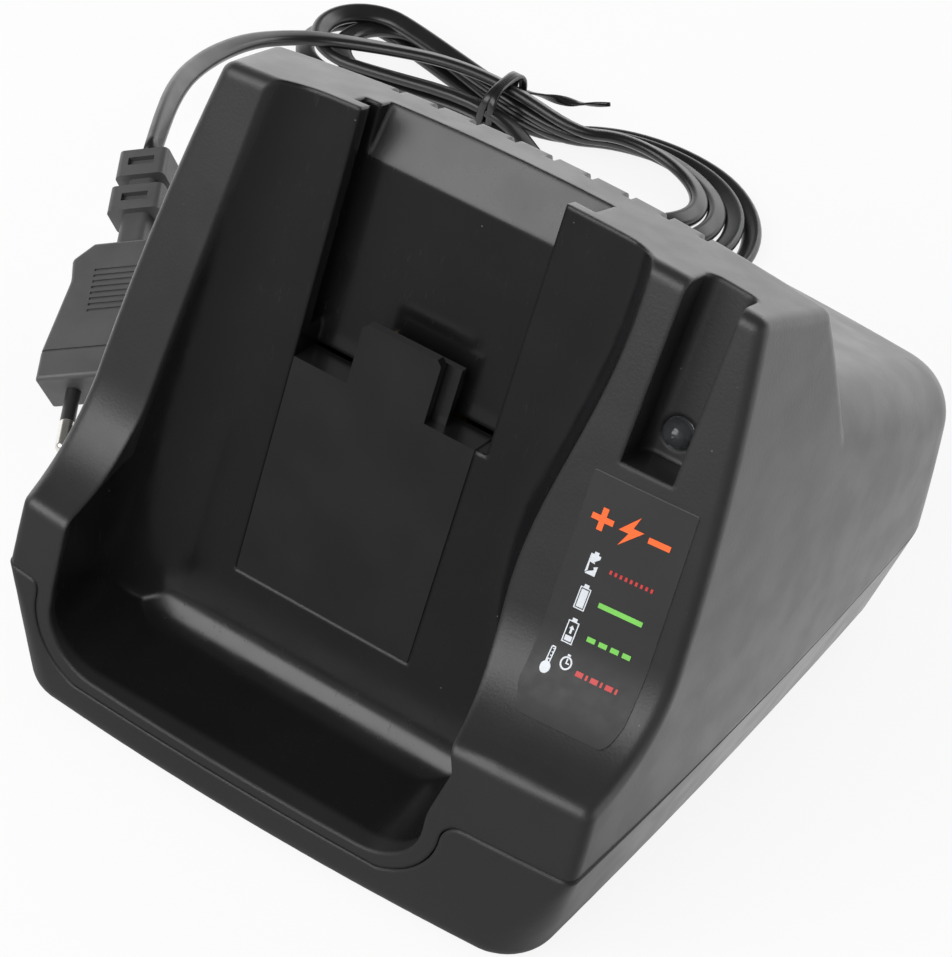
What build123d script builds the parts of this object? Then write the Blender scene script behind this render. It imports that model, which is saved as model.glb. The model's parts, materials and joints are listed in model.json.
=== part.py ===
from build123d import *
import math
import os

# Power tool battery charger, millimetres, +Z up, standing on z = 0.
# +X is its right-hand side as a user faces it and +Y runs to the back.
# The shapes are drawn with y = 0 at the front face and moved at the end,
# so that the finished parts have their origin under the middle of the housing.

# ---------------------------------------------------------------- driving dimensions
FOOT_HEIGHT = 2.5
PARTING_Z = 36.3          # line between base and top housing
WALL = 2.5                # housing wall thickness
BAY_WALL = 4.0            # moulded wall around the battery bay

FRONT_BOW_RADIUS = 803.0  # the front face bows forward by 3.5 mm over its width
SIDE_FRONT_X = 75.9       # half width at the front face
SIDE_SPREAD = 0.12        # half width gained per mm towards the back
SIDE_ROUND = 0.00024      # and lost again with the square of the depth
TUMBLEHOME = 0.047        # side walls lean in by this much per mm above the parting
TUMBLEHOME_ROUND = 0.0008 # and by this much more with the square of the height
REAR_Y = 173.0
REAR_CORNER_Y = 167.0
REAR_CORNER_RADIUS = 18.0
TOP_Z = 170.0             # level above every finished surface

RIDGE_Z = 54.6            # top of the upright front face
RIDGE_RADIUS = 3.5
PANEL_BEND_Y = 21.5
PANEL_BEND_Z = 60.4
PANEL_BEND_RADIUS = 30.0
PANEL_TOP_Y = 58.55       # the panel's slope, reached at TOP_Z
FRONT_LEAN = 0.19          # the upright face leans out below the ridge

BAND_Z = 155.5            # front edge of the sloping top band
BAND_FRONT_Y = 53.0
BAND_ANGLE = 21.8
BAND_CROWN_RADIUS = 700.0
TOWER_BACK_AXIS_Y = -362.0
TOWER_BACK_Y = 88.0       # back edge of the top band
TOWER_BACK_Z = 141.5
TOWER_BACK_ANGLE = 71.0
REAR_TOP_Z = 119.5        # level of the sloping rear roof under the band's back edge
REAR_TOP_ANGLE = 27.5
REAR_SHOULDER_RADIUS = 16.0
COVE_TOP_Z = 128.0
COVE_RADIUS = 9.0         # cove between the tower's rear face and the rear roof
TOWER_EDGE_RADIUS = 3.0

BAY_TILT = 76.0           # slope of the shelf that the battery slides down
SHELF_Y = 60.5            # the shelf passes through (SHELF_Y, SHELF_Z)
SHELF_Z = 152.0
BAY_FLOOR_Z = 17.0
BAY_BEND_RADIUS = 9.5
BAY_CORNER_RADIUS = 14.0
BAY_LEFT_FILLET = 16.0
BAY_RIGHT_FILLET = 11.0

RECESS_LEFT = -34.2       # guide channel between the two rails
RECESS_RIGHT = 16.4
RECESS_DEPTH = 9.4
RAIL_LIP = 4.0
GROOVE_LEFT = -38.2
GROOVE_RIGHT = 21.5
NOTCH_Z = 92.5
TONGUE_Z = 107.6
TONGUE_LEFT = -20.0
TONGUE_RIGHT = 0.3
BLOCK_LEFT = -34.2
BLOCK_RIGHT = 13.6
BLOCK_BOTTOM_Z = 36.6

SLOT_LEFT = 48.2
SLOT_RIGHT = 60.4
SLOT_FLOOR_Z = 113.0
SLOT_DEPTH = 11.5
SLOT_BOW = 2.7            # the bowed panel stands about this far back beside the lamp slot
SLOT_CORNER = 3.0

VENT_PITCH = 9.7
VENT_COUNT = 9
VENT_FIRST_X = -38.6
VENT_WIDTH = 2.3
VENT_BOTTOM_Z = 122.0
VENT_DEPTH = 3.2


# ---------------------------------------------------------------- outer form
def side_x(y, z=PARTING_Z, inset=0.0):
    """Half width of the housing at depth y and height z."""
    rise = max(z - PARTING_Z, 0.0)
    lean = TUMBLEHOME * rise + TUMBLEHOME_ROUND * rise * rise
    return SIDE_FRONT_X + SIDE_SPREAD * y - SIDE_ROUND * y * y - lean - inset


def plan_face(z, inset=0.0, front_y=-14.0, draft=0.0):
    """Horizontal section of the housing at height z."""
    shrink = inset + draft
    front_x = side_x(front_y, z, shrink)
    mid_x = side_x(75.0, z, shrink)
    rear_x = side_x(REAR_CORNER_Y, z, shrink)
    rear_y = REAR_CORNER_Y - shrink
    with BuildSketch(Plane.XY.offset(z)) as section:
        with BuildLine():
            ThreePointArc((-front_x, front_y + 3.5), (0, front_y), (front_x, front_y + 3.5))
            ThreePointArc((front_x, front_y + 3.5), (mid_x, 75.0), (rear_x, rear_y))
            ThreePointArc((rear_x, rear_y), (0, REAR_Y - shrink), (-rear_x, rear_y))
            ThreePointArc((-rear_x, rear_y), (-mid_x, 75.0), (-front_x, front_y + 3.5))
        make_face()
        rear_corners = section.vertices().sort_by(Axis.Y)[-2:]
        fillet(rear_corners, REAR_CORNER_RADIUS - shrink)
    return section.sketch.face()


def upper_loft(inset=0.0):
    """Drafted side and rear walls above the parting line."""
    levels = [PARTING_Z, 78.0, 120.0, TOP_Z]
    return loft([plan_face(z, inset) for z in levels])


def revolved(points, radii, axis_y, sweep=40.0):
    """A profile in the (y, z) plane turned about an upright axis at axis_y."""
    outline = FilletPolyline(*[(0, y, z) for y, z in points], radius=radii, close=True)
    face = Face(Wire(outline.edges()))
    axis = Axis((0, axis_y, 0), (0, 0, 1))
    solid = revolve(face, axis, sweep)
    turned = solid.rotate(axis, -sweep / 2)
    return turned


def front_profile(inset):
    """Points and corner radii of everything behind the front face and the panel."""
    bottom_y = -FRONT_LEAN * RIDGE_Z + inset
    slope = (PANEL_TOP_Y - PANEL_BEND_Y) / (TOP_Z - PANEL_BEND_Z)
    top_y = PANEL_TOP_Y + inset * 1.05 + 10 * slope
    points = [(bottom_y, 0), (inset, RIDGE_Z - inset), (PANEL_BEND_Y + inset * 0.6, PANEL_BEND_Z - inset),
              (top_y, TOP_Z + 10), (300, TOP_Z + 10), (300, 0)]
    ridge_radius = 0 if inset > 0 else RIDGE_RADIUS
    return points, [0, ridge_radius, PANEL_BEND_RADIUS + inset, 0, 0, 0]


def front_region(inset=0.0):
    points, radii = front_profile(inset)
    return revolved(points, radii, FRONT_BOW_RADIUS)


def tower_region(inset=0.0):
    """Everything in front of the tower's sloping rear face."""
    drop = TOWER_BACK_Z
    bottom_y = TOWER_BACK_Y + drop / math.tan(math.radians(TOWER_BACK_ANGLE)) - inset * 1.05
    rise = TOP_Z - TOWER_BACK_Z
    top_y = TOWER_BACK_Y - rise / math.tan(math.radians(TOWER_BACK_ANGLE)) - inset * 1.05
    points = [(-60, 0), (bottom_y, 0), (top_y, TOP_Z), (-60, TOP_Z)]
    return revolved(points, [0, 0, 0, 0], TOWER_BACK_AXIS_Y)


def under_band(inset=0.0):
    """Everything under the crowned, sloping top band."""
    length = 600
    angle = math.radians(BAND_ANGLE)
    band = Plane(origin=(0, BAND_FRONT_Y, BAND_Z - inset), x_dir=(1, 0, 0),
                 z_dir=(0, math.cos(angle), -math.sin(angle)))
    down = 1 if band.y_dir.Z < 0 else -1
    return band * Pos(0, BAND_CROWN_RADIUS * down, 0) * Cylinder(BAND_CROWN_RADIUS, length)


def rear_region(inset=0.0):
    """Everything under the rear roof, from inside the tower to past the rear wall.

    Outside, a cove eases the tower's rear face into the roof. It starts just inside that face.
    """
    slope = math.tan(math.radians(REAR_TOP_ANGLE))
    steep = math.tan(math.radians(TOWER_BACK_ANGLE))
    front_y = 62.0 + inset
    back_y = 210.0
    top_back = REAR_TOP_Z - slope * (back_y - TOWER_BACK_Y) - inset * 1.1
    if inset > 0:
        top_front = REAR_TOP_Z - slope * (front_y - TOWER_BACK_Y) - inset * 1.1
        points = [(front_y, 0), (front_y, top_front), (back_y, top_back), (back_y, 0)]
        return revolved(points, [0, 0, 0, 0], TOWER_BACK_AXIS_Y)
    inside = 0.5
    start_y = TOWER_BACK_Y + (TOWER_BACK_Z - COVE_TOP_Z) / steep - inside
    corner_y = TOWER_BACK_Y - inside + (TOWER_BACK_Z - REAR_TOP_Z) / (steep - slope)
    corner_z = REAR_TOP_Z - slope * (corner_y - TOWER_BACK_Y)
    points = [(front_y, 0), (front_y, COVE_TOP_Z), (start_y, COVE_TOP_Z), (corner_y, corner_z),
              (back_y, top_back), (back_y, 0)]
    return revolved(points, [0, 0, 0, COVE_RADIUS, 0, 0], TOWER_BACK_AXIS_Y)


def as_solid(shape):
    """The largest solid of a shape."""
    return shape.solids().sort_by(SortBy.VOLUME)[-1]


def middle(edge):
    return edge @ 0.5


def tower_solid(inset, edge_radius):
    body = as_solid(upper_loft(inset) & front_region(inset))
    tower = as_solid(body & tower_region(inset) & under_band(inset))
    if edge_radius == 0:
        return tower

    def is_outer(edge):
        place = middle(edge)
        on_side = abs(place.X) > 60 and place.Z > PARTING_Z + 1
        on_top = abs(place.X) < 1 and place.Z > 130
        return on_side or on_top

    return tower.fillet(edge_radius, [edge for edge in tower.edges() if is_outer(edge)])


def rear_box(inset, shoulder):
    body = as_solid(upper_loft(inset) & front_region(inset))
    box = as_solid(body & rear_region(inset))

    def is_shoulder(edge):
        lowest = min((edge @ 0).Z, (edge @ 1).Z)
        return middle(edge).Z > 70 and lowest > 60 and middle(edge).Y > 70

    return box.fillet(shoulder, [edge for edge in box.edges() if is_shoulder(edge)])


def upper_form(inset=0.0):
    """Outer or inner form of the top housing, before anything is cut into it."""
    edge_radius = TOWER_EDGE_RADIUS if inset == 0 else 0
    shoulder = REAR_SHOULDER_RADIUS - inset
    return as_solid(tower_solid(inset, edge_radius) + rear_box(inset, shoulder))


BASE_FRONT_DRAFT = 3.5
BASE_DRAFT = 6.5              # sides and rear
BASE_EDGE_RADIUS = 5.0
BASE_CORNER_RADIUS = 16.0     # of the front corners at the bottom; they are sharper at the parting


def base_face(z, inset, drawn_in):
    """Section of the base with its bowed front; drawn_in is 0 at the parting and 1 at the bottom."""
    shrink = inset + BASE_DRAFT * drawn_in
    front_y = -FRONT_LEAN * (RIDGE_Z - z) + inset + BASE_FRONT_DRAFT * drawn_in
    front_radius = TOWER_EDGE_RADIUS + (BASE_CORNER_RADIUS - TOWER_EDGE_RADIUS) * drawn_in - inset
    front_x = side_x(0, PARTING_Z, shrink)
    mid_x = side_x(75.0, PARTING_Z, shrink)
    rear_x = side_x(REAR_CORNER_Y, PARTING_Z, shrink)
    rear_y = REAR_CORNER_Y - shrink
    bow = FRONT_BOW_RADIUS - math.sqrt(FRONT_BOW_RADIUS ** 2 - front_x ** 2)
    with BuildSketch(Plane.XY.offset(z)) as section:
        with BuildLine():
            ThreePointArc((-front_x, front_y + bow), (0, front_y), (front_x, front_y + bow))
            ThreePointArc((front_x, front_y + bow), (mid_x, 75.0), (rear_x, rear_y))
            ThreePointArc((rear_x, rear_y), (0, REAR_Y - shrink), (-rear_x, rear_y))
            ThreePointArc((-rear_x, rear_y), (-mid_x, 75.0), (-front_x, front_y + bow))
        make_face()
        rear_corners = section.vertices().sort_by(Axis.Y)[-2:]
        fillet(rear_corners, REAR_CORNER_RADIUS - shrink)
        front_corners = section.vertices().sort_by(Axis.Y)[:2]
        fillet(front_corners, max(front_radius, 0.6))
    return section.sketch.face()


def base_form(inset=0.0, top=PARTING_Z):
    """Outer or inner form of the base tray, up to the level top."""
    bottom = FOOT_HEIGHT + inset
    faces = [base_face(bottom, inset, 1.0), base_face(min(top, PARTING_Z), inset, 0.0)]
    if top > PARTING_Z:
        faces.append(base_face(top, inset, 0.0))
    form = loft(faces, ruled=True)
    rim = [edge for edge in form.edges() if middle(edge).Z < bottom + 0.1]
    return form.fillet(BASE_EDGE_RADIUS - inset, rim)


# ---------------------------------------------------------------- battery bay
TILT = math.radians(BAY_TILT)
SHELF = Plane(origin=(0, SHELF_Y, SHELF_Z), x_dir=(1, 0, 0), z_dir=(0, -math.sin(TILT), math.cos(TILT)))


def up_shelf(z):
    """Distance along the shelf, from its origin, of the level z."""
    return (z - SHELF_Z) / math.sin(TILT)


def shelf_box(left, right, low_z, high_z, back, front):
    """A block set square to the shelf; back and front are depths from its surface."""
    low = up_shelf(low_z)
    high = up_shelf(high_z)
    block = Box(right - left, high - low, front - back)
    return SHELF * Pos((left + right) / 2, (low + high) / 2, (back + front) / 2) * block


# (distance up the shelf, left wall, right wall) of the bay
BAY_WIDTHS = [
    (45.0, -57.5, 42.5),
    (0.0, -58.0, 41.0),
    (-40.0, -59.2, 38.6),
    (-80.0, -61.0, 35.2),
    (-112.0, -61.8, 42.4),
    (-150.0, -63.0, 44.0),
]
BAY_LEFT = -62.2
BAY_RIGHT = 40.5


def bay_section(distance, left, right, grow):
    """Section of the bay square to the shelf: walls, soft corners and the shelf itself."""
    place = SHELF * Pos(0, distance, 0)
    section = Plane(origin=place.position, x_dir=(1, 0, 0), z_dir=SHELF.y_dir)
    outward = 1 if section.y_dir.Y < 0 else -1
    front = 130 * outward
    back = -grow * outward
    with BuildSketch(section) as tub:
        with BuildLine():
            FilletPolyline((left - grow, front), (left - grow, back), (right + grow, back),
                           (right + grow, front),
                           radius=[BAY_LEFT_FILLET + grow, BAY_RIGHT_FILLET + grow])
            Line((right + grow, front), (left - grow, front))
        make_face()
    return tub.sketch.face()


def bay_space(grow=0.0):
    """The space that the battery slides into; grow gives the outside of its walls."""
    tub = loft([bay_section(distance, left, right, grow) for distance, left, right in BAY_WIDTHS])
    floor = BAY_FLOOR_Z - grow
    with BuildSketch(Plane.XZ) as front_view:
        with BuildLine():
            FilletPolyline((BAY_LEFT - grow - 6, 200), (BAY_LEFT - grow - 6, 64), (BAY_LEFT - grow, 36),
                           (BAY_LEFT - grow, floor), (BAY_RIGHT + grow, floor), (BAY_RIGHT + grow, 36),
                           (BAY_RIGHT + grow + 6, 64), (BAY_RIGHT + grow + 6, 200),
                           radius=[0.01, 20, BAY_CORNER_RADIUS + grow, BAY_CORNER_RADIUS + grow, 20, 0.01])
            Line((BAY_RIGHT + grow + 6, 200), (BAY_LEFT - grow - 6, 200))
        make_face()
    mouth = extrude(front_view.sketch.face(), amount=200, both=True)
    foot_y = SHELF_Y - (SHELF_Z - floor) / math.tan(TILT) + grow / math.sin(TILT)
    top_y = SHELF_Y + (200 - SHELF_Z) / math.tan(TILT) + grow / math.sin(TILT)
    corners = [(-60, floor), (foot_y, floor), (top_y, 200), (-60, 200)]
    outline = FilletPolyline(*[(-150, y, z) for y, z in corners],
                             radius=[0, BAY_BEND_RADIUS + grow, 0, 0], close=True)
    side_view = extrude(Face(Wire(outline.edges())), amount=300, dir=(1, 0, 0))
    return as_solid(tub & mouth & side_view)


# ---------------------------------------------------------------- cuts in the top housing
TUB_INSET = 0.1           # the tub under the parting line stands this far inside the base's front
TUB_OVERLAP = 2.0
TUB_GAP = 0.35            # fine gap between the tub and the base in front
GROOVE_HEIGHT = 0.5
GROOVE_DEPTH = 0.7


def recess_space(grow=0.0):
    """The channel between the two rails, with the grooves undercut behind their lips."""
    back = -RECESS_DEPTH - grow
    channel = shelf_box(RECESS_LEFT - grow, RECESS_RIGHT + grow, NOTCH_Z - grow, 175, back, 40)
    grooves = shelf_box(GROOVE_LEFT - grow, GROOVE_RIGHT + grow, NOTCH_Z + 6 - grow, 175, back, -RAIL_LIP + grow)
    return channel + grooves


def lead_in(grow=0.0):
    """A slanting face that opens the top of the channel; grow gives the wall behind it."""
    height = 7.0
    depth = 4.5
    top = up_shelf(160)
    bottom = up_shelf(BAND_Z - 10) - height
    back = -RECESS_DEPTH - grow
    corners = [(bottom - grow, -RECESS_DEPTH + 0.5), (bottom - grow, back), (bottom, back),
               (top, back - depth * 2), (top, -RECESS_DEPTH + 0.5)]
    if grow == 0:
        corners.pop(1)
    side = Plane(origin=SHELF.origin, x_dir=SHELF.y_dir, z_dir=(1, 0, 0))
    outward = 1 if side.y_dir.dot(SHELF.z_dir) > 0 else -1
    face = make_face(Polyline(*[(v, w * outward) for v, w in corners], close=True))
    wedge = extrude(side * face, amount=GROOVE_RIGHT - RECESS_LEFT + 2 * grow)
    return Pos(RECESS_LEFT - grow, 0, 0) * wedge


def slot_frame():
    """Frame on the panel at the slot's foot: x across, y up the panel, z out of it."""
    slope = math.atan2(TOP_Z - PANEL_BEND_Z, PANEL_TOP_Y - PANEL_BEND_Y)
    foot_y = PANEL_BEND_Y + (SLOT_FLOOR_Z - PANEL_BEND_Z) / math.tan(slope) + SLOT_BOW
    place = Plane(origin=(0, foot_y, SLOT_FLOOR_Z), x_dir=(1, 0, 0), z_dir=(0, -math.sin(slope), math.cos(slope)))
    return place * Pos((SLOT_LEFT + SLOT_RIGHT) / 2, 0, 0)


def slot_space(grow=0.0):
    """The lamp slot, open at the front of the panel and at the top."""
    width = SLOT_RIGHT - SLOT_LEFT + 2 * grow
    depth = SLOT_DEPTH + grow
    clear_height = 70.0
    clear_front = 20.0
    block = Box(width, clear_height + grow, depth + clear_front)
    corners = [edge for edge in block.edges().filter_by(Axis.Y) if middle(edge).Z < 0]
    block = block.fillet(SLOT_CORNER + grow, corners)
    return slot_frame() * Pos(0, (clear_height - grow) / 2, (clear_front - depth) / 2) * block


def vent_slots():
    """Narrow slots through the back of the tower, open at the top band's rear edge."""
    slots = []
    slope = math.radians(TOWER_BACK_ANGLE)
    for number in range(VENT_COUNT):
        x = VENT_FIRST_X + number * VENT_PITCH
        y = TOWER_BACK_Y - x * x / (2 * (TOWER_BACK_Y - TOWER_BACK_AXIS_Y))
        face = Plane(origin=(x, y, TOWER_BACK_Z), x_dir=(1, 0, 0), z_dir=(0, math.sin(slope), math.cos(slope)))
        length = (TOWER_BACK_Z - VENT_BOTTOM_Z) / math.sin(slope)
        over_the_top = 6.0
        up = 1 if face.y_dir.Z > 0 else -1
        slot = Box(VENT_WIDTH, length + over_the_top, 2 * VENT_DEPTH)
        slots.append(face * Pos(0, up * (over_the_top - length) / 2, 0) * slot)
    return slots


TONGUE_ROUND = {-1: 2.2, 1: 5.0}   # corners of the base beside the tub, left and right


def tongue_corner(side, gap):
    """Space over the rounded corner of the base beside the tub; the top housing fills it but for the gap."""
    radius = TONGUE_ROUND[side]
    wall_x = (BAY_RIGHT if side > 0 else -BAY_LEFT) + BAY_WALL + TUB_GAP
    into_wall = 1.5 + gap
    above = 1.0
    depth = 6.0
    centre_z = PARTING_Z - GROOVE_HEIGHT / 2 - radius
    width = radius + into_wall
    height = radius + GROOVE_HEIGHT + above
    block = Pos(side * (wall_x - into_wall + width / 2), 0, centre_z + height / 2) * Box(width, 2 * depth, height)
    return block - Pos(side * (wall_x + radius), 0, centre_z) * Rot(90, 0, 0) * Cylinder(radius + gap, 2 * depth + 2)


def top_shell():
    bay_walls = bay_space(BAY_WALL)
    recess_walls = recess_space(WALL)
    slot_walls = slot_space(WALL)
    filled = bay_walls + tongue_corner(-1, TUB_GAP) + tongue_corner(1, TUB_GAP)
    lower_tub = as_solid(base_form(TUB_INSET, PARTING_Z + TUB_OVERLAP) & filled)
    shell = upper_form() + lower_tub
    hollow = upper_form(WALL) - bay_walls - recess_walls - lead_in(WALL) - slot_walls
    shell = shell - hollow
    shell = shell - bay_space() - recess_space() - lead_in() - slot_space()
    for slot in vent_slots():
        shell = shell - slot
    window = shelf_box(BLOCK_LEFT, BLOCK_RIGHT, BLOCK_BOTTOM_Z, NOTCH_Z + 1, -20, 5)
    return as_solid(shell - window)


def base_shell():
    """Base tray; its rim is set back, which shows as a fine line under the top housing."""
    groove_z = PARTING_Z - GROOVE_HEIGHT
    rim = extrude(base_face(groove_z, GROOVE_DEPTH, 0.0), amount=GROOVE_HEIGHT)
    hollow = base_form(WALL) + Pos(0, 0, PARTING_Z) * Box(190, 400, 0.2)
    shell = base_form(0.0, groove_z) + rim - hollow
    shell = shell - bay_space(BAY_WALL + TUB_GAP)
    return as_solid(shell - tongue_corner(-1, 0.0) - tongue_corner(1, 0.0))


# ---------------------------------------------------------------- terminal block and its contacts
BLOCK_GAP = 0.15
CONTACT_X = [-16.5, -12.0, -7.5, -3.0]


def terminal_block():
    """Insert that closes the shelf: front plate, thick carrier and double tongue."""
    left = BLOCK_LEFT + BLOCK_GAP
    right = BLOCK_RIGHT - BLOCK_GAP
    bottom = BLOCK_BOTTOM_Z + BLOCK_GAP
    plate = shelf_box(left, right, bottom, NOTCH_Z, -3.2, 0)
    carrier = shelf_box(left, right, 76, NOTCH_Z, -RECESS_DEPTH, 0)
    tongue = shelf_box(TONGUE_LEFT, TONGUE_RIGHT, 80, TONGUE_Z, -2.6, 0)
    corners = [edge for edge in tongue.edges() if edge.length < 3 and middle(edge).Z > 100]
    tongue = tongue.chamfer(1.2, None, corners)
    second = shelf_box(TONGUE_LEFT + 3, TONGUE_RIGHT + 3.6, 80, TONGUE_Z - 1.5, -5.6, -3.6)
    rib = shelf_box(TONGUE_RIGHT + 1.2, TONGUE_RIGHT + 2.4, 80, 101, -RECESS_DEPTH, -3.6)
    block = plate + carrier + tongue + second + rib
    for x in CONTACT_X:
        block = block - shelf_box(x - 0.4, x + 0.4, 60, NOTCH_Z + 2, -8.9, -6.3)
    return as_solid(block)


def contact_blades():
    """Four upright blades behind the tongue, each with a solder tail."""
    return [shelf_box(x - 0.4, x + 0.4, 64, TONGUE_Z - 4, -8.9, -6.3) for x in CONTACT_X]


# ---------------------------------------------------------------- label and lamp
LABEL_THICKNESS = 0.35
LABEL_OUTLINE = [(43.9, 110.0), (68.0, 109.6), (70.4, 63.5), (69.3, 59.8), (48.3, 59.8), (45.4, 63.5)]
LENS_RADIUS = 3.6
LENS_RISE = 6.5


def status_label():
    """Thin label stuck to the right-hand panel, following its curve."""
    with BuildSketch(Plane.XZ) as outline:
        with BuildLine():
            FilletPolyline(*LABEL_OUTLINE, radius=[0.4, 0.4, 2.2, 2.2, 2.2, 2.2], close=True)
        make_face()
    pillar = extrude(outline.sketch.face(), amount=100, both=True)
    skin = front_region(-LABEL_THICKNESS) - front_region(0)
    return as_solid(pillar & skin)


def lens_place():
    """Where the lens meets the back wall of the slot, facing out of it."""
    return slot_frame() * Pos(0, LENS_RISE, -SLOT_DEPTH)


def led_lens():
    """Clear dome in the back wall of the lamp slot."""
    stem = Pos(0, 0, -1.5) * Cylinder(LENS_RADIUS, 3.0)
    rim = Pos(0, 0, -WALL - 0.5) * Cylinder(LENS_RADIUS + 0.8, 1.0)
    return lens_place() * as_solid(Sphere(LENS_RADIUS) + stem + rim)


def led():
    """The lamp itself, behind its lens, on two legs."""
    body = Pos(0, 0, -WALL - 1.0 - 2.6) * Cylinder(2.5, 5.0)
    legs = [Pos(x, 0, -WALL - 1.0 - 7.6) * Box(0.5, 0.5, 5.2) for x in (-1.27, 1.27)]
    return lens_place() * as_solid(body + legs[0] + legs[1])


# ---------------------------------------------------------------- what is inside
BOARD_Z = 12.0
BOARD_THICKNESS = 1.6
BOARD_TOP = BOARD_Z + BOARD_THICKNESS
BOARD_LEFT = -68.0
BOARD_RIGHT = 68.0
BOARD_FRONT = 52.0
BOARD_BACK = 158.0
BOARD_SCREWS = [(-62, 58), (62, 58), (-62, 152), (62, 152)]
CASE_SCREWS = [(-72.5, 66), (72.5, 66), (-77.0, 136), (77.0, 136)]
BOSS_RADIUS = 3.8
HEAT_SINK_X = 40.0
HEAT_SINK_PLATE = 2.5


def main_board():
    board = Pos((BOARD_LEFT + BOARD_RIGHT) / 2, (BOARD_FRONT + BOARD_BACK) / 2, BOARD_Z + BOARD_THICKNESS / 2) \
        * Box(BOARD_RIGHT - BOARD_LEFT, BOARD_BACK - BOARD_FRONT, BOARD_THICKNESS)
    for x, y in BOARD_SCREWS:
        board = board - Pos(x, y, BOARD_Z) * Cylinder(1.7, 6)
    return as_solid(board)


def on_board(x, y, height, shape):
    """A component of the given height standing on the board."""
    return Pos(x, y, BOARD_TOP + height / 2) * shape


def transformer_core():
    """Ferrite core: two E halves around the coil."""
    block = Box(34, 14, 32)
    windows = Pos(8.5, 0, 0) * Box(7, 40, 22) + Pos(-8.5, 0, 0) * Box(7, 40, 22)
    return on_board(-30, 118, 32, block - windows)


def transformer_coil():
    """Winding on its former, around the middle leg of the core."""
    outside = Box(23.6, 27, 21.6)
    outside = outside.fillet(3.0, outside.edges().filter_by(Axis.Z))
    leg_hole = Box(10.2, 14.2, 40)
    return on_board(-30, 118, 32, outside - leg_hole)


def capacitor(x, y, radius, height):
    can = Cylinder(radius, height)
    top = can.edges().filter_by(GeomType.CIRCLE).sort_by(Axis.Z)[-1:]
    return on_board(x, y, height, can.fillet(0.8, top))


def heat_sink():
    """Extruded aluminium: a plate with fins."""
    height = 34.0
    sink = Box(HEAT_SINK_PLATE, 56, height)
    for number in range(8):
        sink = sink + Pos(4.0, -24.5 + number * 7.0, 0) * Box(7.0, 1.4, height)
    return on_board(HEAT_SINK_X, 122, height, sink)


def power_transistors():
    """Two transistors clamped flat to the heat sink's plate."""
    thickness = 4.4
    x = HEAT_SINK_X - (HEAT_SINK_PLATE + thickness) / 2
    return [Pos(x, y, BOARD_TOP + 15.5) * Box(thickness, 15.0, 19.0) for y in (106, 138)]


def fuse():
    return on_board(-54, 140, 5.2, Rot(90, 0, 0) * Cylinder(2.6, 20))


def choke():
    return on_board(-54, 96, 8, Torus(8.0, 4.0))


def mains_terminal():
    return on_board(-20, 150, 12, Box(16, 9, 12))


def terminal_leads():
    """Four insulated leads from the contacts to the board."""
    leads = []
    for number, x in enumerate(CONTACT_X):
        tail = (SHELF * Pos(x, up_shelf(64), -7.6)).position
        end = (x * 1.6 + 6, 72, BOARD_TOP)
        path = FilletPolyline((tail.X, tail.Y, tail.Z), (tail.X, tail.Y + 5, tail.Z - 20),
                              (end[0], end[1], end[2] + 14), end, radius=5)
        start = Plane(origin=path @ 0, z_dir=path % 0)
        leads.append(sweep(start * Circle(0.9), path))
    return leads


def pan_screw(radius, length, head_radius, head_height):
    """A screw along +Z with its head at the bottom."""
    shank = Pos(0, 0, length / 2) * Cylinder(radius, length)
    head = Pos(0, 0, -head_height / 2) * Cylinder(head_radius, head_height)
    drive = Pos(0, 0, -head_height) * (Box(0.8, 3.4, 1.6) + Box(3.4, 0.8, 1.6))
    return as_solid(shank + head - drive)


FEET = [(-60, 7), (60, 7), (-66, 148), (66, 148)]
FOOT_RADIUS = 5.5


def rubber_feet():
    feet = []
    for x, y in FEET:
        disc = Pos(x, y, (FOOT_HEIGHT + 1.0) / 2) * Cylinder(FOOT_RADIUS, FOOT_HEIGHT + 1.0)
        rim = disc.edges().filter_by(GeomType.CIRCLE).sort_by(Axis.Z)[:1]
        feet.append(disc.fillet(1.0, rim))
    return feet


CORD_EXIT_X = -40.0
CORD_EXIT_Z = 17.0
GROMMET_RADIUS = 5.6
GROMMET_END_Y = 197.5
REAR_WALL_Y = REAR_Y - BASE_DRAFT * (PARTING_Z - CORD_EXIT_Z) / (PARTING_Z - FOOT_HEIGHT)


def finished_base():
    """Base tray with foot recesses, board posts, screw holes and the cord's opening."""
    shell = base_shell()
    for x, y in FEET:
        shell = shell + Pos(x, y, FOOT_HEIGHT + WALL) * Cylinder(FOOT_RADIUS + 1.5, 2.0)
        shell = shell - Pos(x, y, FOOT_HEIGHT) * Cylinder(FOOT_RADIUS + 0.15, 2.0)
    for x, y in BOARD_SCREWS:
        post_height = BOARD_Z - FOOT_HEIGHT - 1
        post = Pos(x, y, FOOT_HEIGHT + 1 + post_height / 2) * Cylinder(3.4, post_height)
        shell = shell + post - Pos(x, y, BOARD_Z - 3) * Cylinder(1.1, 6.2)
    for x, y in CASE_SCREWS:
        well = Pos(x, y, 10) * Cylinder(BOSS_RADIUS + 0.8, 13)
        shell = shell + (well & base_form())
        shell = shell - Pos(x, y, 5) * Cylinder(3.3, 12) - Pos(x, y, 12) * Cylinder(1.8, 20)
    hole = Pos(CORD_EXIT_X, REAR_Y - 3, CORD_EXIT_Z) * Rot(90, 0, 0) * Cylinder(GROMMET_RADIUS, 20)
    return as_solid(shell - hole)


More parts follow.
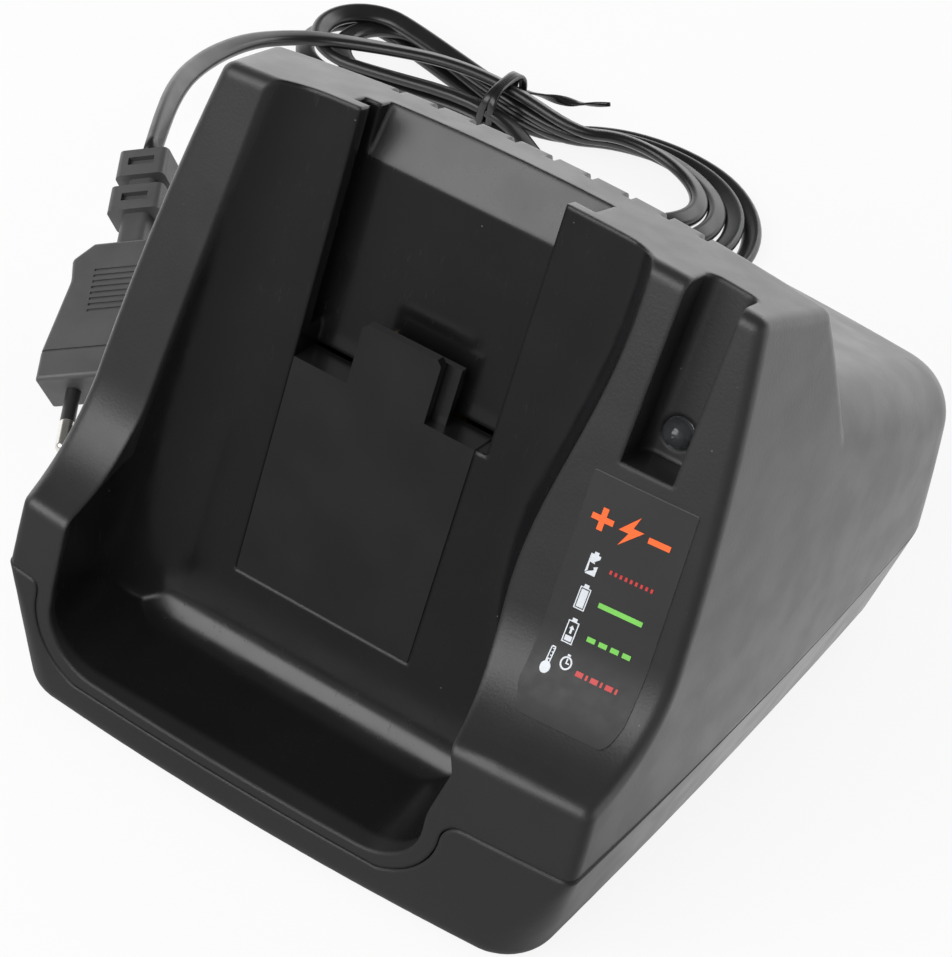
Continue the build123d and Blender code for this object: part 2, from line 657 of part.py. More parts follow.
def finished_top():
    """Top shell with its screw bosses."""
    shell = top_shell()
    inside = upper_form(1.0)
    boss_bottom = 16.6
    boss_top = 74.0
    rib_bottom = PARTING_Z + 1
    for x, y in CASE_SCREWS:
        boss = Pos(x, y, (boss_bottom + boss_top) / 2) * Cylinder(BOSS_RADIUS, boss_top - boss_bottom)
        rib = Pos(x + math.copysign(6, x), y, (rib_bottom + boss_top) / 2) * Box(16, 2, boss_top - rib_bottom)
        shell = shell + boss + as_solid(rib & inside)
        shell = shell - Pos(x, y, boss_bottom) * Cylinder(1.3, 32)
    return as_solid(shell - lens_place() * Cylinder(LENS_RADIUS + 0.1, 9))


# ---------------------------------------------------------------- cord, hank and plug
CORD_WIDTH = 6.2
CORD_RADIUS = CORD_WIDTH / 2

# the cord leaves the rear wall, drops to the table and runs to the hank
LEAD_ROUTE = [
    (-40.0, 197.5, 17.0),
    (-39.8, 206.2, 16.0),
    (-38.7, 215.0, 12.9),
    (-36.4, 224.0, 9.0),
    (-32.8, 233.0, 6.0),
]
# and on from the hank, round the back corner, to the plug
PLUG_ROUTE = [
    (-163.0, 262.0, 12.7),
    (-170.5, 253.0, 13.6),
    (-175.0, 241.5, 16.0),
    (-175.5, 226.0, 19.5),
    (-172.5, 208.0, 24.0),
    (-167.0, 191.0, 28.5),
    (-158.5, 172.0, 31.5),
    (-147.8, 151.3, 33.0),
]


def cord_tube(route):
    """Round tube along straight runs joined by arcs as large as the runs allow."""
    points = [Vector(*place) for place in route]
    radii = []
    for before, corner, after in zip(points, points[1:], points[2:]):
        first = corner - before
        second = after - corner
        half_turn = math.radians(first.get_angle(second)) / 2
        radii.append(0.45 * min(first.length, second.length) / math.tan(half_turn))
    print("cord radii", [round(radius) for radius in radii])
    path = FilletPolyline(*points, radius=radii)
    start = Plane(origin=path @ 0, z_dir=path % 0)
    tube = sweep(start * Circle(CORD_RADIUS), path)
    expected = math.pi * CORD_RADIUS ** 2 * path.length
    print("cord length", round(path.length, 1), "volume ratio", round(tube.volume / expected, 4))
    return as_solid(tube)


def cord_grommet():
    """Tapered strain relief, gripped by the rear wall."""
    neck = Cylinder(GROMMET_RADIUS - 0.1, 8)
    inner_ring = Pos(0, 0, -5.2) * Cylinder(GROMMET_RADIUS + 1.2, 1.6)
    flange = Pos(0, 0, 2.0) * Cylinder(GROMMET_RADIUS + 1.2, 1.6)
    taper_start = 2.8
    taper_length = GROMMET_END_Y - REAR_WALL_Y - taper_start
    taper = Pos(0, 0, taper_start + taper_length / 2) * Cone(GROMMET_RADIUS - 0.4, CORD_RADIUS + 0.9, taper_length)
    body = neck + inner_ring + flange + taper
    for number in range(4):
        ring = Cylinder(8, 1.2) - Cylinder(CORD_RADIUS + 0.3, 1.2)
        body = body - Pos(0, 0, 6.5 + number * 4.4) * ring
    place = Plane(origin=(CORD_EXIT_X, REAR_WALL_Y, CORD_EXIT_Z), x_dir=(1, 0, 0), z_dir=(0, 1, 0))
    return place * as_solid(body)


HANK_HEIGHT = 16.0
WAIST_X = -104.0
WAIST_Y = 277.0
WAIST_WIDTH = 18.0


def cord_hank():
    """Outer shape of the folded cord: two lobes and a waist where the tie holds it."""
    with BuildSketch() as outline:
        with Locations((-146, WAIST_Y)):
            Ellipse(32, 20)
        with Locations((-51, 264)):
            Ellipse(45, 41)
        with BuildLine():
            far = WAIST_Y + WAIST_WIDTH / 2
            near = WAIST_Y - WAIST_WIDTH / 2
            Polyline((-150, 295), (WAIST_X, far), (-60, 303), (-60, 235), (WAIST_X, near), (-150, 259), close=True)
        make_face()
    body = extrude(outline.sketch, amount=HANK_HEIGHT)
    top_rim = body.edges().group_by(Axis.Z)[-1]
    return as_solid(body.fillet(4.0, top_rim))


TIE_THICKNESS = 1.2
TIE_WIDTH = 5.0


def cord_tie():
    """Band of the tie round the waist of the hank."""
    wide = WAIST_WIDTH + 2 * TIE_THICKNESS
    high = HANK_HEIGHT + TIE_THICKNESS
    corner = 6.0
    across = Plane(origin=(WAIST_X, WAIST_Y, high / 2), x_dir=(0.1, 1, 0), z_dir=(1, -0.1, 0))
    outside = across * RectangleRounded(wide, high, corner)
    inside = across * RectangleRounded(wide - 2 * TIE_THICKNESS, high - 2 * TIE_THICKNESS, corner - TIE_THICKNESS)
    return as_solid(extrude(outside - inside, amount=TIE_WIDTH / 2, both=True))


# the plug lies against the table on its lower edge, pins towards the front
PLUG_TAIL = Vector(-147.4, 150.6, 32.8)
PLUG_FACE = Vector(-109.4, 82.1, 10.8)
PLUG_ROLL = 22.0
PLUG_WIDTH = 35.3
PLUG_THICKNESS = 13.7
PLUG_BODY = 44.0
PLUG_RELIEF = 33.0
PIN_RADIUS = 2.0
PIN_SPACING = 18.6
PIN_LENGTH = 19.0


def plug_place():
    """Frame of the plug: z runs from the cord to the pins, x across its width."""
    axis = (PLUG_FACE - PLUG_TAIL).normalized()
    level = Vector(-axis.Y, axis.X, 0).normalized()
    return Plane(origin=PLUG_TAIL, x_dir=level, z_dir=axis) * Rot(0, 0, PLUG_ROLL)


def plug_body():
    """Flat two-pin plug body with shoulders, grip ridges and a collar at the pins."""
    start = PLUG_RELIEF
    half = PLUG_WIDTH / 2
    collar = 9.0
    waist = half - 4.5
    neck = 8.2
    outline = [(-neck, start), (-waist - 0.8, start + 5), (-waist, start + 12), (-half, start + PLUG_BODY - collar),
               (-half, start + PLUG_BODY), (half, start + PLUG_BODY), (half, start + PLUG_BODY - collar),
               (waist, start + 12), (waist + 0.8, start + 5), (neck, start)]
    with BuildSketch(Plane.XZ) as shape:
        with BuildLine():
            FilletPolyline(*outline, radius=[1.5, 2.0, 9, 12, 0.5, 0.5, 12, 9, 2.0, 1.5], close=True)
        make_face()
    body = extrude(shape.sketch.face(), amount=PLUG_THICKNESS / 2, both=True)
    long_edges = [edge for edge in body.edges() if abs(middle(edge).Y) > PLUG_THICKNESS / 2 - 0.1]
    body = body.fillet(1.2, long_edges)
    groove_z = start + PLUG_BODY - collar
    groove = Pos(0, 0, groove_z) * (Box(60, 30, 0.7) - Box(PLUG_WIDTH - 2.0, PLUG_THICKNESS - 1.0, 2))
    body = body - groove
    for side in (-1, 1):
        for number in range(8):
            ridge = Pos(0, side * PLUG_THICKNESS / 2, start + 9.5 + number * 1.9) * Box(13.0, 0.9, 0.8)
            body = body - ridge
    return as_solid(body)


def plug_relief():
    """Slotted strain relief behind the plug."""
    core = Pos(0, 0, PLUG_RELIEF / 2) * Box(8.6, 6.6, PLUG_RELIEF)
    relief = core.fillet(2.2, core.edges().filter_by(Axis.Z))
    for low, high, wide in ((0.0, 9.0, 14.5), (12.5, 21.0, 15.5)):
        block = Pos(0, 0, (low + high) / 2) * Box(wide, 10.4, high - low)
        block = block.fillet(1.8, block.edges().filter_by(Axis.Z))
        relief = relief + block
    for level in (4.0, 16.5):
        for side in (-1, 1):
            relief = relief - Pos(0, side * 5.0, level) * Box(7.6, 3.0, 2.6)
    return as_solid(relief)


def plug_pins():
    pins = []
    for side in (-1, 1):
        rod = Cylinder(PIN_RADIUS, PIN_LENGTH)
        tip = rod.edges().filter_by(GeomType.CIRCLE).sort_by(Axis.Z)[-1:]
        rod = rod.fillet(1.6, tip)
        pins.append(Pos(side * PIN_SPACING / 2, 0, PLUG_RELIEF + PLUG_BODY + PIN_LENGTH / 2) * rod)
    return pins


def group(solids):
    """Separate solids that share one node."""
    return Compound(list(solids))


def build_parts():
    parts = {}
    parts["top_housing"] = finished_top()
    parts["base_housing"] = finished_base()
    parts["terminal_block"] = terminal_block()
    parts["contact_blades"] = group(contact_blades())
    parts["status_label"] = status_label()
    parts["led_lens"] = led_lens()
    parts["led"] = led()
    parts["main_board"] = main_board()
    parts["transformer_core"] = as_solid(transformer_core())
    parts["transformer_coil"] = transformer_coil()
    parts["bulk_capacitor"] = as_solid(capacitor(8, 124, 9, 30))
    parts["output_capacitors"] = group([capacitor(8, 96, 5, 20), capacitor(20, 96, 5, 20)])
    parts["heat_sink"] = as_solid(heat_sink())
    parts["power_transistors"] = group(power_transistors())
    parts["fuse"] = as_solid(fuse())
    parts["choke"] = as_solid(choke())
    parts["mains_terminal"] = as_solid(mains_terminal())
    parts["terminal_leads"] = group(terminal_leads())
    parts["rubber_feet"] = group(rubber_feet())
    parts["board_screws"] = group([
        Pos(x, y, BOARD_TOP) * Rot(180, 0, 0) * pan_screw(1.1, 4.0, 2.8, 1.8) for x, y in BOARD_SCREWS])
    parts["case_screws"] = group([
        Pos(x, y, 11.0) * pan_screw(1.3, 20.0, 3.0, 2.2) for x, y in CASE_SCREWS])
    parts["cord_grommet"] = cord_grommet()
    parts["cord_lead"] = cord_tube(LEAD_ROUTE)
    parts["cord_to_plug"] = cord_tube(PLUG_ROUTE)
    parts["cord_hank"] = cord_hank()
    parts["cord_tie"] = cord_tie()
    parts["plug_strain_relief"] = plug_place() * plug_relief()
    parts["plug_body"] = plug_place() * plug_body()
    parts["plug_pins"] = group([plug_place() * pin for pin in plug_pins()])
    return parts


HOUSING_MIDDLE_Y = 83.5

if __name__ == "__main__":
    os.makedirs("parts", exist_ok=True)
    for name, shape in build_parts().items():
        export_step(Pos(0, -HOUSING_MIDDLE_Y, 0) * shape, f"parts/{name}.step")
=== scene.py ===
import json
import math

import bpy
import bmesh
from mathutils import Matrix, Vector


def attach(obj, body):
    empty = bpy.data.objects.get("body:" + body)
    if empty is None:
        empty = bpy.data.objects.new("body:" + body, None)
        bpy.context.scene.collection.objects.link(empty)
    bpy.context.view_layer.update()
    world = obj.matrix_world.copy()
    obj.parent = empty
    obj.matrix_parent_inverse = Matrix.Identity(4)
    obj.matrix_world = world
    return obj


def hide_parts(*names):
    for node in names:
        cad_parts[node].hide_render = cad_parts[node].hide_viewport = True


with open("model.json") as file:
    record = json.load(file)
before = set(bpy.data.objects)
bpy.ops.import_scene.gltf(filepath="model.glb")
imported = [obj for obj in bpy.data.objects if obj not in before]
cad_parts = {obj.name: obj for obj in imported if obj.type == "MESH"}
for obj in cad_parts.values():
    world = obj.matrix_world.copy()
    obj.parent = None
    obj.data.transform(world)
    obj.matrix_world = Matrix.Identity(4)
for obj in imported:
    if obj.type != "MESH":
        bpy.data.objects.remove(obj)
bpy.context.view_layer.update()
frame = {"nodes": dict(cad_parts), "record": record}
nodes = frame["nodes"]
BODY = "root"

# Places are written as in the charger's own drawing, in millimetres: x = 0 in the middle,
# y = 0 at the front face, z = 0 on the table. at() gives the same place in the scene, in metres.
MM = 0.001
HOUSING_MIDDLE_Y = 83.5


def at(x, y, z):
    return Vector((x * MM, (y - HOUSING_MIDDLE_Y) * MM, z * MM))


# ---------------------------------------------------------------- camera
CAMERA_AZIMUTH = 23.87
CAMERA_ELEVATION = 41.75
CAMERA_ROLL = 11.37
CAMERA_TARGET = at(1.49, 76.41, 55.15)
CAMERA_DISTANCE = 616.05 * MM
CAMERA_LENS = 99.01


def make_camera():
    azimuth = math.radians(CAMERA_AZIMUTH)
    elevation = math.radians(CAMERA_ELEVATION)
    back = Vector((math.sin(azimuth) * math.cos(elevation), -math.cos(azimuth) * math.cos(elevation),
                   math.sin(elevation)))
    data = bpy.data.cameras.new("camera")
    data.sensor_fit = "HORIZONTAL"
    data.sensor_width = 36.0
    data.lens = CAMERA_LENS
    data.clip_start = 0.01
    data.clip_end = 20.0
    camera = bpy.data.objects.new("camera", data)
    level = (-back).to_track_quat("-Z", "Y").to_matrix().to_4x4()
    roll = Matrix.Rotation(math.radians(CAMERA_ROLL), 4, "Z")
    camera.matrix_world = Matrix.Translation(CAMERA_TARGET + back * CAMERA_DISTANCE) @ level @ roll
    bpy.context.scene.collection.objects.link(camera)
    bpy.context.scene.camera = camera


# ---------------------------------------------------------------- node trees
class Tree:
    """A material's node tree, with short calls for the nodes that the finishes share."""

    def __init__(self, name):
        self.material = bpy.data.materials.new(name)
        self.material.use_nodes = True
        self.tree = self.material.node_tree
        self.shader = self.tree.nodes["Principled BSDF"]
        self.place = self.new("ShaderNodeTexCoord").outputs["Object"]

    def new(self, kind, **settings):
        node = self.tree.nodes.new(kind)
        for key, value in settings.items():
            setattr(node, key, value)
        return node

    def put(self, value, socket):
        """Links a socket, or sets a plain value."""
        if isinstance(value, bpy.types.NodeSocket):
            self.tree.links.new(value, socket)
        else:
            socket.default_value = value

    def noise(self, scale, detail=3.0, roughness=0.5, place=None):
        node = self.new("ShaderNodeTexNoise")
        self.put(place or self.place, node.inputs["Vector"])
        node.inputs["Scale"].default_value = scale
        node.inputs["Detail"].default_value = detail
        node.inputs["Roughness"].default_value = roughness
        return node.outputs["Fac"]

    def spread(self, value, low, high, to_low=0.0, to_high=1.0, smooth=True):
        """Maps low..high to to_low..to_high, clamped."""
        node = self.new("ShaderNodeMapRange", interpolation_type="SMOOTHSTEP" if smooth else "LINEAR")
        self.put(value, node.inputs["Value"])
        for key, number in (("From Min", low), ("From Max", high), ("To Min", to_low), ("To Max", to_high)):
            self.put(number, node.inputs[key])
        return node.outputs["Result"]

    def math(self, operation, a, b=0.0):
        node = self.new("ShaderNodeMath", operation=operation)
        self.put(a, node.inputs[0])
        self.put(b, node.inputs[1])
        return node.outputs["Value"]

    def mix(self, share, first, second):
        node = self.new("ShaderNodeMix", data_type="RGBA")
        self.put(share, node.inputs["Factor"])
        self.put(first, node.inputs["A"])
        self.put(second, node.inputs["B"])
        return node.outputs["Result"]

    def blend(self, share, first, second):
        """Mixes two numbers."""
        node = self.new("ShaderNodeMix", data_type="FLOAT")
        self.put(share, node.inputs[0])
        self.put(first, node.inputs[2])
        self.put(second, node.inputs[3])
        return node.outputs[0]

    def xyz(self, vector=None):
        node = self.new("ShaderNodeSeparateXYZ")
        self.put(vector or self.place, node.inputs[0])
        return node.outputs["X"], node.outputs["Y"], node.outputs["Z"]

    def bump(self, height, strength, depth, below=None):
        """Bump of that depth in metres, over an optional coarser one."""
        node = self.new("ShaderNodeBump")
        self.put(height, node.inputs["Height"])
        self.put(strength, node.inputs["Strength"])
        node.inputs["Distance"].default_value = depth
        if below is not None:
            self.put(below, node.inputs["Normal"])
        return node.outputs["Normal"]

    def soft_edge(self, radius):
        """Normals rounded over sharp edges, as moulded plastic has them."""
        node = self.new("ShaderNodeBevel", samples=6)
        node.inputs["Radius"].default_value = radius
        return node.outputs["Normal"]

    def surface(self, **inputs):
        for key, value in inputs.items():
            self.put(value, self.shader.inputs[key.replace("_", " ")])
        return self.material


def grey(level, blue=0.0):
    return (level, level, level + blue, 1.0)


def plain(name, colour, roughness, grain=900.0, depth=0.00002, change=0.12, metallic=0.0, strength=0.4):
    """A plain finish with fine grain, slightly uneven colour and uneven gloss."""
    t = Tree(name)
    darker = tuple(c * (1 - change) for c in colour[:3]) + (1.0,)
    lighter = tuple(min(c * (1 + change), 1.0) for c in colour[:3]) + (1.0,)
    cloudy = t.noise(60.0)
    tint = t.mix(t.spread(cloudy, 0.35, 0.65), darker, lighter)
    gloss = t.spread(t.noise(140.0, 4.0), 0.3, 0.7, roughness * 0.88, min(roughness * 1.12, 1.0))
    normal = t.bump(t.noise(grain), strength, depth)
    return t.surface(Base_Color=tint, Roughness=gloss, Metallic=metallic, Normal=normal)


# ---------------------------------------------------------------- finishes
RIDGE_LOW_Y = -3.48
RIDGE_LOW_Z = 36.3
PANEL_FOOT_Y = 0.0
PANEL_FOOT_Z = 54.6
PANEL_BEND_Y = 21.5
PANEL_BEND_Z = 60.4
PANEL_TOP_Y = 58.55
PANEL_TOP_Z = 170.0
BAY_EDGE_LEFT = -64.5     # the bay's finish fades in here and out at the right
BAY_EDGE_RIGHT = 43.5
BAY_EDGE_BLUR = 2.0
SHELF_TOP_Y = 60.5
SHELF_TOP_Z = 152.0
SHELF_ANGLE = 76.0
BEHIND_SHELF = 15.0       # the bay's finish reaches this far behind the shelf's slope
EDGE_ROUNDING = 1.6       # how far the light is rounded over the housing's sharp edges


def in_the_bay(t):
    """1 on the walls of the battery bay and the guide channel, 0 on the outside of the housing; it places
    the bay's smoother finish and its painted shade.
    """
    x, y, z = t.xyz()
    normal_z = t.xyz(t.new("ShaderNodeNewGeometry").outputs["Normal"])[2]
    lower = t.spread(z, PANEL_FOOT_Z * MM, PANEL_BEND_Z * MM, 0.0, (PANEL_BEND_Y - PANEL_FOOT_Y) * MM, False)
    upper = t.spread(z, PANEL_BEND_Z * MM, PANEL_TOP_Z * MM, 0.0, (PANEL_TOP_Y - PANEL_BEND_Y) * MM, False)
    front = t.spread(z, RIDGE_LOW_Z * MM, PANEL_FOOT_Z * MM, 0.0, (PANEL_FOOT_Y - RIDGE_LOW_Y) * MM, False)
    rising = t.math("ADD", t.math("ADD", lower, upper), front)
    face_y = t.math("ADD", rising, at(0, RIDGE_LOW_Y, 0).y)
    behind_face = t.spread(t.math("SUBTRACT", y, face_y), 2.5 * MM, 5.0 * MM)
    right_of = t.spread(x, BAY_EDGE_LEFT * MM, (BAY_EDGE_LEFT + BAY_EDGE_BLUR) * MM)
    left_of = t.spread(x, (BAY_EDGE_RIGHT - BAY_EDGE_BLUR) * MM, BAY_EDGE_RIGHT * MM, 1.0, 0.0)
    shelf_slope = 1 / math.tan(math.radians(SHELF_ANGLE))
    shelf_depth = t.math("SUBTRACT", y, t.math("MULTIPLY", z, shelf_slope))
    shelf_limit = at(0, SHELF_TOP_Y - SHELF_TOP_Z * shelf_slope + BEHIND_SHELF, 0).y
    before_shelf = t.spread(shelf_depth, shelf_limit, shelf_limit + BAY_EDGE_BLUR * MM, 1.0, 0.0)
    on_top = t.math("MULTIPLY", t.spread(normal_z, 0.5, 0.7), t.spread(z, 125 * MM, 130 * MM))
    between = t.math("MULTIPLY", right_of, left_of)
    share = t.math("MULTIPLY", t.math("MULTIPLY", behind_face, before_shelf), between)
    return t.math("MULTIPLY", share, t.math("SUBTRACT", 1.0, on_top))


def with_dust(t, colour):
    """A few pale specks of dust over a colour."""
    specks = t.new("ShaderNodeTexVoronoi", feature="F1")
    specks.inputs["Scale"].default_value = 260.0
    t.put(t.place, specks.inputs["Vector"])
    speck = t.spread(specks.outputs["Distance"], 0.035, 0.06, 1.0, 0.0)
    rare = t.spread(t.xyz(specks.outputs["Color"])[0], 0.93, 0.95)
    return t.mix(t.math("MULTIPLY", t.math("MULTIPLY", speck, rare), 0.3), colour, grey(0.30))


def rub_streaks(t):
    """1 on the fine streaks that a battery rubs into the bay, along its slope."""
    rub = t.new("ShaderNodeMapping")
    rub.inputs["Rotation"].default_value = (0.0, 0.35, 0.0)
    rub.inputs["Scale"].default_value = (900.0, 900.0, 14.0)
    t.put(t.place, rub.inputs["Vector"])
    return t.spread(t.noise(1.0, 2.0, 0.6, rub.outputs["Vector"]), 0.64, 0.72)


def housing_plastic():
    """Black moulded plastic: fine matt grain outside, smoother in the bay, where its colour is darkened as
    painted shade of the recess.
    """
    t = Tree("housing_black")
    bay = in_the_bay(t)
    cloudy = t.spread(t.noise(14.0, 2.0), 0.3, 0.7)
    outside = t.mix(cloudy, grey(0.0165, 0.0005), grey(0.0205, 0.001))
    # painted shade: the bay's copy of the colour is darker than the outside one, for the shade in the recess
    inside = t.mix(cloudy, grey(0.0065, 0.0006), grey(0.0085, 0.001))
    colour = with_dust(t, t.mix(bay, outside, inside))
    uneven = t.noise(90.0, 4.0)
    matt = t.spread(uneven, 0.3, 0.7, 0.36, 0.42)
    satin = t.spread(uneven, 0.3, 0.7, 0.17, 0.25)
    satin = t.math("ADD", satin, t.math("MULTIPLY", rub_streaks(t), 0.10))
    edges = t.soft_edge(EDGE_ROUNDING * MM)
    grain = t.bump(t.noise(1500.0, 2.0), t.blend(bay, 0.55, 0.08), 0.00006, edges)
    wavy = t.bump(t.noise(30.0, 1.0), 0.06, 0.0002, grain)
    return t.surface(Base_Color=colour, Roughness=t.blend(bay, matt, satin), Normal=wavy)


def label_film():
    """Dark matt film, with the pale cut edge of the sheet."""
    t = Tree("label_film")
    cloudy = t.spread(t.noise(40.0, 2.0), 0.35, 0.65)
    colour = t.mix(cloudy, grey(0.017, 0.0005), grey(0.020, 0.0005))
    normal = t.xyz(t.new("ShaderNodeNewGeometry").outputs["Normal"])[1]
    edge = t.spread(normal, -0.35, -0.2)
    colour = t.mix(edge, colour, grey(0.12))
    return t.surface(Base_Color=colour, Roughness=t.spread(t.noise(300.0, 3.0), 0.3, 0.7, 0.50, 0.58),
                     Normal=t.bump(t.noise(1200.0), 0.12, 0.00003))


def clear_plastic(name, colour):
    t = Tree(name)
    t.surface(Base_Color=colour, Roughness=t.spread(t.noise(200.0), 0.3, 0.7, 0.03, 0.08))
    t.shader.inputs["IOR"].default_value = 1.49
    t.shader.inputs["Transmission Weight"].default_value = 0.92
    return t.material


PLUG_TAIL = (-147.4, 150.6, 32.8)
PLUG_FACE = (-109.4, 82.1, 10.8)
PLUG_LENGTH = 77.0        # from the tail to where the pins leave the plug
PIN_SLEEVE = 10.0
SLEEVE_BLUR = 0.1


def pin_metal():
    """Nickel pins with a black sleeve next to the plug."""
    t = Tree("pin_nickel")
    tail = at(*PLUG_TAIL)
    along = (at(*PLUG_FACE) - tail).normalized()
    dot = t.new("ShaderNodeVectorMath", operation="DOT_PRODUCT")
    t.put(t.place, dot.inputs[0])
    dot.inputs[1].default_value = along
    sleeve_end = tail.dot(along) + (PLUG_LENGTH + PIN_SLEEVE) * MM
    bare = t.spread(dot.outputs["Value"], sleeve_end - SLEEVE_BLUR * MM, sleeve_end + SLEEVE_BLUR * MM)
    colour = t.mix(bare, grey(0.02), (0.72, 0.70, 0.66, 1.0))
    gloss = t.spread(t.noise(400.0), 0.3, 0.7, 0.18, 0.28)
    return t.surface(Base_Color=colour, Roughness=t.blend(bare, 0.4, gloss), Metallic=bare)


def coil_winding():
    """Turns of yellow tape and copper wire."""
    t = Tree("coil_tape")
    wave = t.new("ShaderNodeTexWave", wave_type="BANDS", bands_direction="Z")
    wave.inputs["Scale"].default_value = 180.0
    wave.inputs["Distortion"].default_value = 0.6
    t.put(t.place, wave.inputs["Vector"])
    colour = t.mix(wave.outputs["Fac"], (0.50, 0.36, 0.04, 1.0), (0.70, 0.52, 0.08, 1.0))
    return t.surface(Base_Color=colour, Roughness=0.4, Normal=t.bump(wave.outputs["Fac"], 0.5, 0.0003))


def board_green():
    """Solder mask with a fine pattern of tracks."""
    t = Tree("circuit_board")
    tracks = t.new("ShaderNodeTexBrick")
    tracks.inputs["Scale"].default_value = 160.0
    tracks.inputs["Mortar Size"].default_value = 0.06
    t.put(t.place, tracks.inputs["Vector"])
    colour = t.mix(tracks.outputs["Fac"], (0.010, 0.075, 0.030, 1.0), (0.020, 0.130, 0.050, 1.0))
    return t.surface(Base_Color=colour, Roughness=0.3, Normal=t.bump(tracks.outputs["Fac"], 0.3, 0.00005))


def make_finishes():
    return {
        "housing_black": housing_plastic(),
        "terminal_plastic": plain("terminal_plastic", grey(0.011, 0.001), 0.24, 700.0, 0.00001),
        "contact_metal": plain("contact_metal", (0.78, 0.62, 0.36, 1.0), 0.25, 500.0, 0.00001, 0.06, 1.0),
        "label_film": label_film(),
        "clear_lens": clear_plastic("clear_lens", (0.42, 0.44, 0.46, 1.0)),
        "circuit_board": board_green(),
        "ferrite": plain("ferrite", grey(0.035), 0.55, 1600.0, 0.00008),
        "coil_tape": coil_winding(),
        "capacitor_sleeve": plain("capacitor_sleeve", (0.02, 0.03, 0.10, 1.0), 0.25),
        "aluminium": plain("aluminium", grey(0.62, 0.01), 0.35, 800.0, 0.00003, 0.06, 1.0),
        "fuse_body": clear_plastic("fuse_body", (0.92, 0.92, 0.88, 1.0)),
        "lead_insulation": plain("lead_insulation", (0.30, 0.02, 0.02, 1.0), 0.35),
        "foot_rubber": plain("foot_rubber", grey(0.016), 0.75, 1500.0, 0.00008),
        "screw_steel": plain("screw_steel", grey(0.55, 0.01), 0.3, 900.0, 0.00002, 0.08, 1.0),
        "cord_pvc": plain("cord_pvc", grey(0.009, 0.001), 0.32, 900.0, 0.00003),
        "tie_plastic": plain("tie_plastic", grey(0.011), 0.28, 800.0, 0.00002),
        "plug_pvc": plain("plug_pvc", grey(0.062, 0.001), 0.46, 1500.0, 0.00005),
        "pin_nickel": pin_metal(),
    }


def dress_cad_nodes(finishes):
    """Gives each carried-over CAD node the finish of its material slot."""
    for sub_part in frame["record"]["subparts"]:
        mesh = nodes[sub_part["node"]].data
        mesh.materials.clear()
        mesh.materials.append(finishes[sub_part["material_slot"]])


# ---------------------------------------------------------------- new pieces
def add_piece(name, mesh, finish):
    piece = bpy.data.objects.new(name, mesh)
    bpy.context.scene.collection.objects.link(piece)
    mesh.materials.append(finish)
    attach(piece, BODY)
    return piece


def mesh_of(name, build, smooth=True):
    bm = bmesh.new()
    build(bm)
    bmesh.ops.recalc_face_normals(bm, faces=bm.faces)
    mesh = bpy.data.meshes.new(name)
    bm.to_mesh(mesh)
    bm.free()
    for face in mesh.polygons:
        face.use_smooth = smooth
    return mesh


# ---------------------------------------------------------------- cord
CORD_WIDTH = 6.2
CORD_THICKNESS = 3.6
SECTION_STEPS = 20

LEAD_ROUTE = [
    (-40.0, 197.5, 17.0),
    (-39.8, 206.2, 16.0),
    (-38.7, 215.0, 12.9),
    (-36.4, 224.0, 9.0),
    (-32.8, 233.0, 6.0),
]
OVER_THE_HANK = [(-124.0, 276.0, 15.6), (-144.0, 269.0, 14.6)]
PLUG_ROUTE = [
    (-163.0, 262.0, 12.7),
    (-170.5, 253.0, 13.6),
    (-175.0, 241.5, 16.0),
    (-175.5, 226.0, 19.5),
    (-172.5, 208.0, 24.0),
    (-167.0, 191.0, 28.5),
    (-158.5, 172.0, 31.5),
    (-147.8, 151.3, 33.0),
]

TURNS = 3
WAIST_X = -104.0
WAIST_Y = 277.0
LAYER = 3.7               # one strand of flat cord lies this far above another
STRAND_GAP = 3.4          # half the distance between the two columns of strands at the tie
LOWEST = 2.4              # the cord's middle where it lies on the table
RIGHT_LOBE_X = -51.0
RIGHT_LOBE_Y = 264.0
RIGHT_REACH_X = 41.5
RIGHT_REACH_Y = 37.5
RIGHT_LEVELS = (0.0, 2.4, 4.4, 7.2)   # height of each turn over the lowest
LEFT_LOBE_X = -157.5
LEFT_RADIUS = 17.0


def right_lobe(turn, first_angle):
    """Points of a turn round the wide right-hand end of the hank, each turn inside the one before."""
    centre_x = RIGHT_LOBE_X - 1.2 * turn
    centre_y = RIGHT_LOBE_Y + 1.0 * turn
    wide = RIGHT_REACH_X - 5.4 * turn
    deep = RIGHT_REACH_Y - 5.6 * turn
    level = LOWEST + RIGHT_LEVELS[turn]
    points = []
    for angle in range(first_angle, 151, 30):
        turned = math.radians(angle)
        lift = 1.2 * math.sin(turned * 2 + turn)
        points.append((centre_x + wide * math.cos(turned), centre_y + deep * math.sin(turned),
                       max(level + lift, LOWEST)))
    return points


def left_lobe(turn):
    """Points of a turn round the narrow left-hand end, where the loops end at different places."""
    centre_x = LEFT_LOBE_X + (0.0, 11.0, 4.5)[turn]
    centre_y = WAIST_Y + (0.0, 1.5, -1.0)[turn]
    radius = LEFT_RADIUS - (0.0, 1.4, 0.8)[turn]
    level = LOWEST + turn * LAYER
    points = []
    for angle in range(75, 286, 30):
        turned = math.radians(angle)
        points.append((centre_x + radius * math.cos(turned), centre_y + radius * math.sin(turned), level))
    return points


def waist(layer, side):
    """A strand's place under the tie: side 1 is the far column and -1 the near one."""
    return (WAIST_X, WAIST_Y + side * STRAND_GAP, LOWEST + layer * LAYER)


def cord_route():
    points = list(LEAD_ROUTE)
    for turn in range(TURNS + 1):
        points += right_lobe(turn, -30 if turn == 0 else -150)
        points.append(waist(turn, 1))
        if turn < TURNS:
            points += left_lobe(turn)
            points.append(waist(turn, -1))
    return points + OVER_THE_HANK + PLUG_ROUTE


